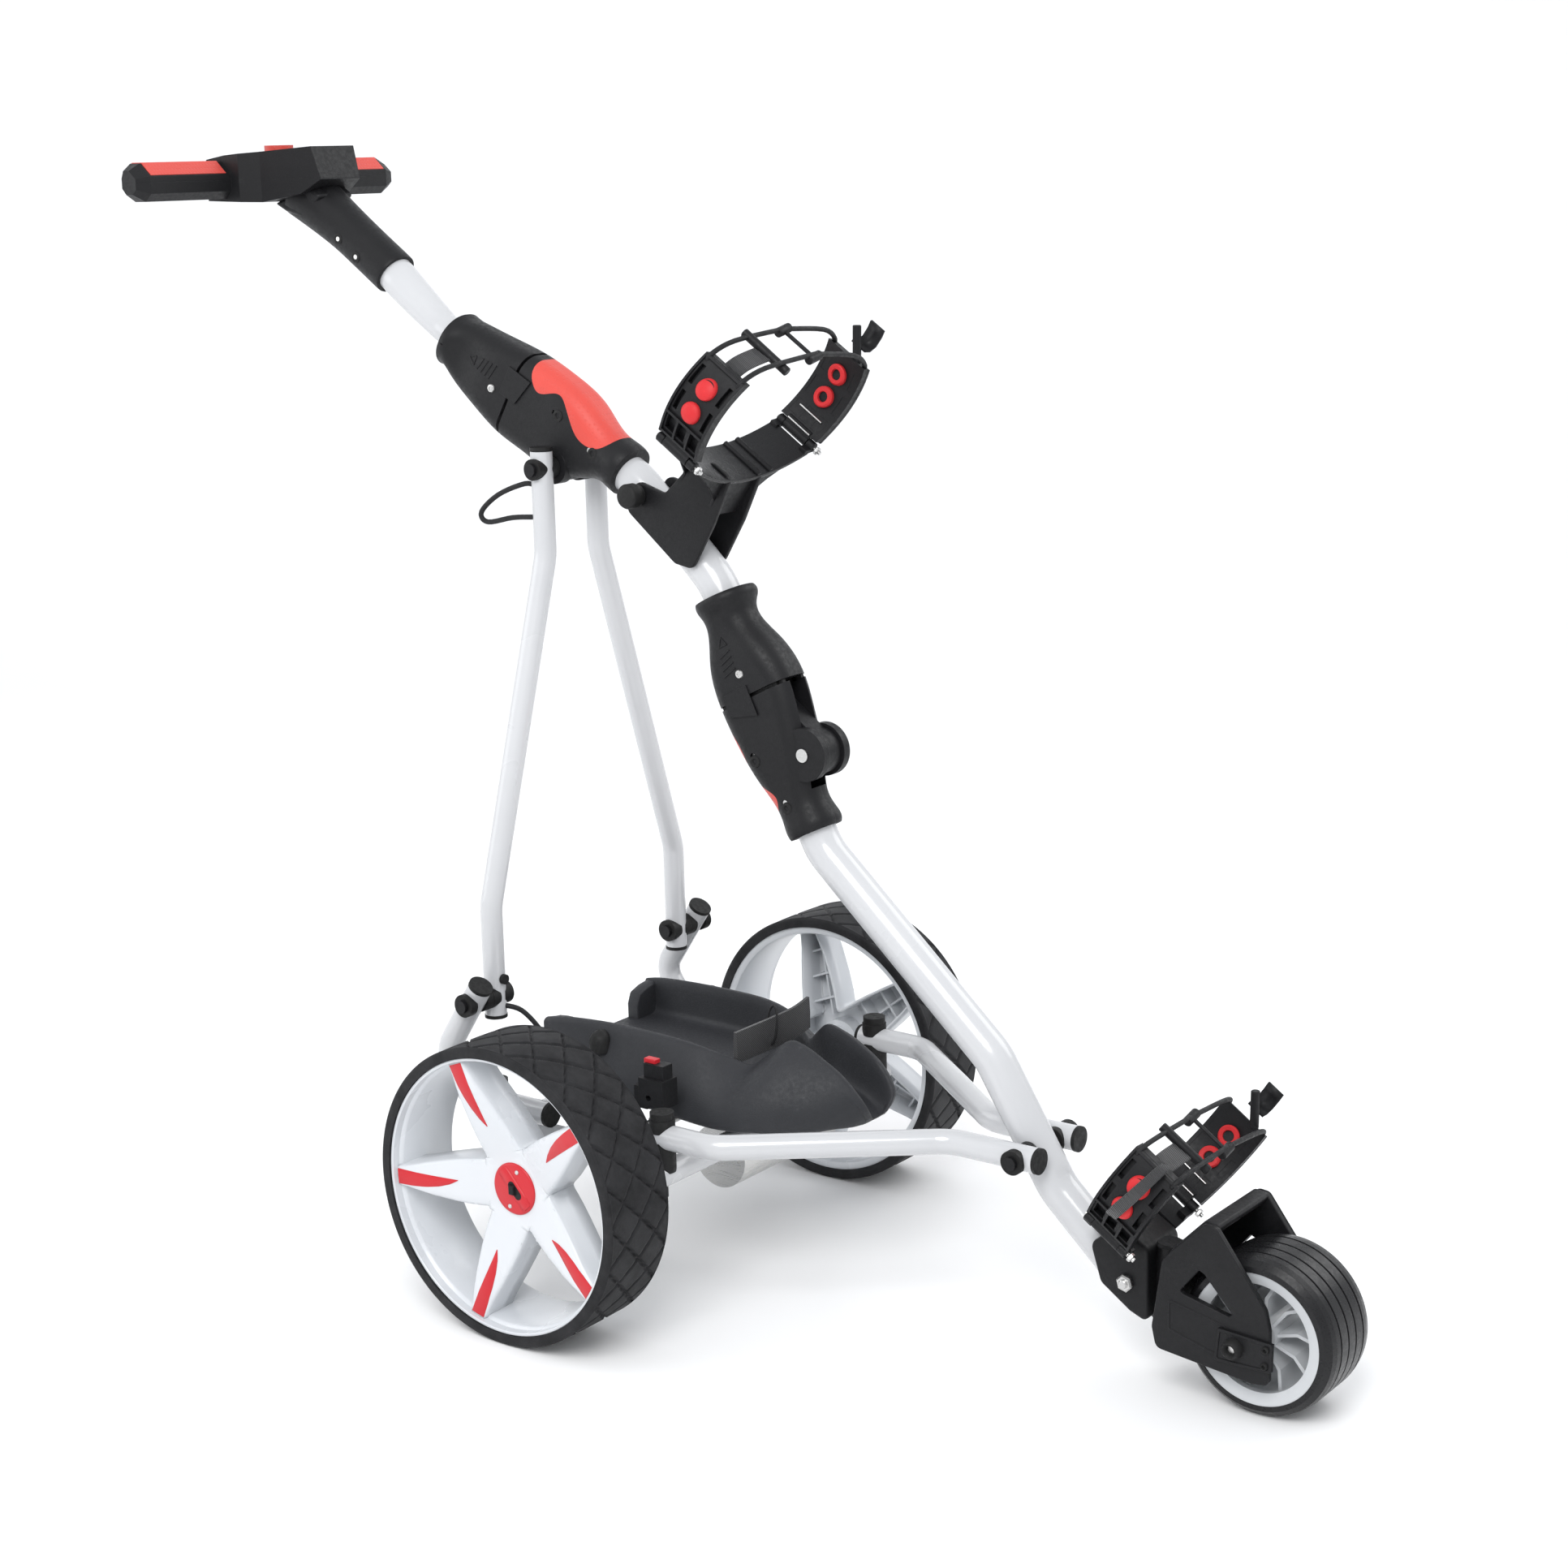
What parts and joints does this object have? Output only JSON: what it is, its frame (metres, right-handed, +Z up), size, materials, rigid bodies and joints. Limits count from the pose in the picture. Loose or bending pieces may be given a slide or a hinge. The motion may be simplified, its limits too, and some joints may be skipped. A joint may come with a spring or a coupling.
{
  "type": "electric golf trolley",
  "caption": "Folding electric golf trolley: tube frame with locking collars, motor-driven rear axle, front wheel on a fork, battery tray, two bag cradles and a T-bar handle.",
  "frame": {"origin": "on the ground under the middle of the trolley's length and width", "axes": "+X forward towards the front wheel, +Y to the trolley's left, +Z up"},
  "size_m": [1.289, 0.597, 1.101],
  "materials": {
    "powder_coat": "smooth gloss white powder coat",
    "black_plastic": "fine-textured black",
    "grey_plastic": "fine-textured dark grey",
    "red_rubber": "soft red",
    "red_plastic": "semi-gloss red",
    "black_rubber": "matt black",
    "white_plastic": "semi-gloss white",
    "light_plastic": "satin light grey",
    "steel": "satin",
    "tyre": "moulded tread",
    "webbing": "woven black webbing",
    "circuit": "green lacquer"
  },
  "bodies": {
    "chassis": {"rail_right": "powder_coat", "rail_left": "powder_coat", "upright_right": "powder_coat", "upright_left": "powder_coat", "lower_frame": "powder_coat", "frame_bushes": "black_rubber", "frame_bolts": "steel", "frame_caps": "black_rubber", "battery_tray": "grey_plastic", "tray_strap": "webbing", "battery_connector": "black_plastic", "motor_case": "steel", "gearbox": "black_plastic", "axle_bearings": "steel"},
    "axle": {"axle_shaft": "steel", "drive_gear": "steel"},
    "motor": {"motor_rotor": "steel"},
    "right_wheel": {"rear_tyre_right": "tyre", "rear_rim_right": "white_plastic", "wheel_trim_right": "red_plastic"},
    "left_wheel": {"rear_tyre_left": "tyre", "rear_rim_left": "white_plastic", "wheel_trim_left": "red_plastic"},
    "right_latch": {"wheel_latch_right": "black_plastic"},
    "left_latch": {"wheel_latch_left": "black_plastic"},
    "stays": {"stay_right": "powder_coat", "stay_left": "powder_coat", "stay_fittings": "black_rubber", "upper_pivot_bolt": "steel"},
    "middle": {"middle_tube": "powder_coat", "lower_joint_core": "black_plastic", "upper_housing": "black_plastic", "upper_joint_grip": "red_rubber", "middle_screws": "steel", "upper_cradle_base": "black_plastic"},
    "lower": {"lower_tube": "powder_coat", "lower_housing": "black_plastic", "lower_joint_grip": "red_rubber", "lower_screws": "steel", "front_bracket": "black_plastic", "fork": "grey_plastic", "tracking_plates": "black_plastic", "lower_cradle_base": "black_plastic"},
    "handle": {"handle_tube": "powder_coat", "upper_joint_core": "black_plastic", "handle_stem": "black_plastic", "handle_lower": "black_plastic", "handle_upper": "black_plastic", "grip_inserts": "red_rubber", "control_board": "circuit"},
    "dial": {"speed_dial": "red_rubber"},
    "upper_collar": {"upper_collar": "black_plastic"},
    "lower_collar": {"lower_collar": "black_plastic"},
    "knob": {"cradle_knob": "black_plastic"},
    "upper_right_arm": {"upper_arm_right": "black_plastic"},
    "upper_left_arm": {"upper_arm_left": "black_plastic"},
    "lower_right_arm": {"lower_arm_right": "black_plastic"},
    "lower_left_arm": {"lower_arm_left": "black_plastic"},
    "front_wheel": {"front_tyre": "tyre", "front_rim": "light_plastic"}
  },
  "joints": [
    {"name": "main_fold", "type": "hinge", "parent": "chassis", "child": "stays", "pos_m": [-0.213, 0, 0.278], "axis": [0, 1, 0], "range_deg": [0, 38.3]},
    {"name": "upper_fold", "type": "hinge", "parent": "stays", "child": "middle", "pos_m": [-0.213, 0, 0.787], "axis": [0, 1, 0], "range_deg": [0, 36.8]},
    {"name": "lower_fold", "type": "hinge", "parent": "middle", "child": "lower", "pos_m": [0.0825, 0, 0.5305], "axis": [0, 1, 0], "range_deg": [-110.1, 0]},
    {"name": "handle_fold", "type": "hinge", "parent": "middle", "child": "handle", "pos_m": [-0.213, 0, 0.787], "axis": [0, 1, 0], "range_deg": [-115, 0]},
    {"name": "upper_collar_slide", "type": "slide", "parent": "handle", "child": "upper_collar", "axis": [-0.866, 0, 0.5], "range_m": [0, 0.018]},
    {"name": "lower_collar_slide", "type": "slide", "parent": "middle", "child": "lower_collar", "axis": [-0.4384, 0, 0.8988], "range_m": [0, 0.018]},
    {"name": "axle_spin", "type": "hinge", "parent": "chassis", "child": "axle", "pos_m": [-0.0785, 0, 0.145], "axis": [0, 1, 0], "continuous": true},
    {"name": "motor_spin", "type": "hinge", "parent": "chassis", "child": "motor", "pos_m": [-0.01596, 0.05, 0.1183], "axis": [0, 1, 0], "continuous": true},
    {"name": "right_wheel_spin", "type": "hinge", "parent": "axle", "child": "right_wheel", "pos_m": [-0.0785, -0.2575, 0.145], "axis": [0, 1, 0], "continuous": true},
    {"name": "left_wheel_spin", "type": "hinge", "parent": "axle", "child": "left_wheel", "pos_m": [-0.0785, 0.2575, 0.145], "axis": [0, 1, 0], "continuous": true},
    {"name": "right_latch_slide", "type": "slide", "parent": "right_wheel", "child": "right_latch", "axis": [0, 0, 1], "range_m": [0, 0.007]},
    {"name": "left_latch_slide", "type": "slide", "parent": "left_wheel", "child": "left_latch", "axis": [0, 0, 1], "range_m": [0, 0.007]},
    {"name": "front_wheel_spin", "type": "hinge", "parent": "lower", "child": "front_wheel", "pos_m": [0.5715, 0, 0.073], "axis": [0, 1, 0], "continuous": true},
    {"name": "dial_turn", "type": "hinge", "parent": "handle", "child": "dial", "pos_m": [-0.5985, 0, 1.098], "axis": [0, 0, 1], "range_deg": [-135, 135]},
    {"name": "knob_turn", "type": "hinge", "parent": "middle", "child": "knob", "pos_m": [-0.1025, -0.035, 0.766], "axis": [0, 1, 0], "range_deg": [-360, 360]},
    {"name": "upper_right_arm_swing", "type": "hinge", "parent": "middle", "child": "upper_right_arm", "pos_m": [0.02093, -0.091, 0.80418], "axis": [0.8192, 0, -0.5736], "range_deg": [-12, 30]},
    {"name": "upper_left_arm_swing", "type": "hinge", "parent": "middle", "child": "upper_left_arm", "pos_m": [0.02093, 0.091, 0.80418], "axis": [-0.8192, 0, 0.5736], "range_deg": [-12, 30]},
    {"name": "lower_right_arm_swing", "type": "hinge", "parent": "lower", "child": "lower_right_arm", "pos_m": [0.45793, -0.062, 0.13318], "axis": [0.8192, 0, -0.5736], "range_deg": [-12, 25]},
    {"name": "lower_left_arm_swing", "type": "hinge", "parent": "lower", "child": "lower_left_arm", "pos_m": [0.45793, 0.062, 0.13318], "axis": [-0.8192, 0, 0.5736], "range_deg": [-40, 5]}
  ],
  "couplings": [
    {"joint": "upper_fold", "follows": "main_fold", "ratio": 0.96074},
    {"joint": "lower_fold", "follows": "main_fold", "ratio": -2.8737},
    {"joint": "motor_spin", "follows": "axle_spin", "ratio": -3.8571}
  ]
}
